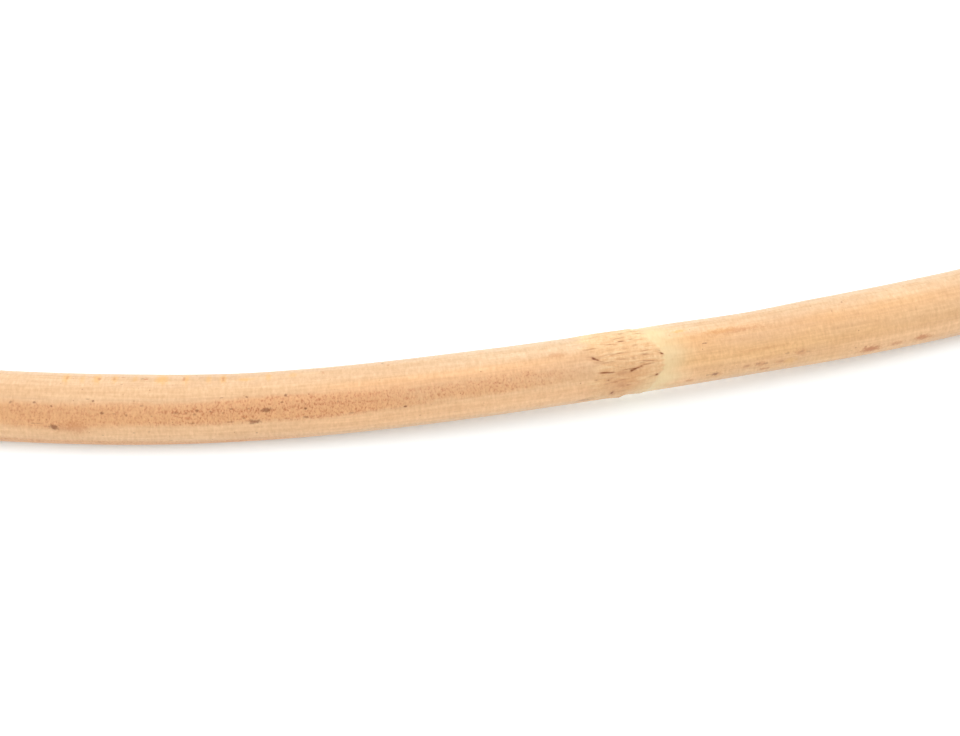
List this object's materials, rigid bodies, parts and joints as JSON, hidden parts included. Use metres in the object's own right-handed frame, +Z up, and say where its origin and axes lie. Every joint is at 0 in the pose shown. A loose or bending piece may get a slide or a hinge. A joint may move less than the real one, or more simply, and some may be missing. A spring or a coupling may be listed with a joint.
{
  "type": "rattan cane",
  "caption": "Cut length of natural rattan cane with ringed leaf-sheath scars, gently bowed, lying on a level surface.",
  "frame": {"origin": "on the surface that the cane lies on, under the middle of its bounding box", "axes": "+X from the thick end to the thin end, the way the stem grew; +Z up; the bow bulges towards -Y"},
  "size_m": [0.5788, 0.0894, 0.0139],
  "materials": {
    "cane_skin": "peeled and dried natural skin, satin, pale straw with browner streaks and scars"
  },
  "bodies": {
    "root": {"rattan_cane": "cane_skin"}
  },
  "joints": []
}
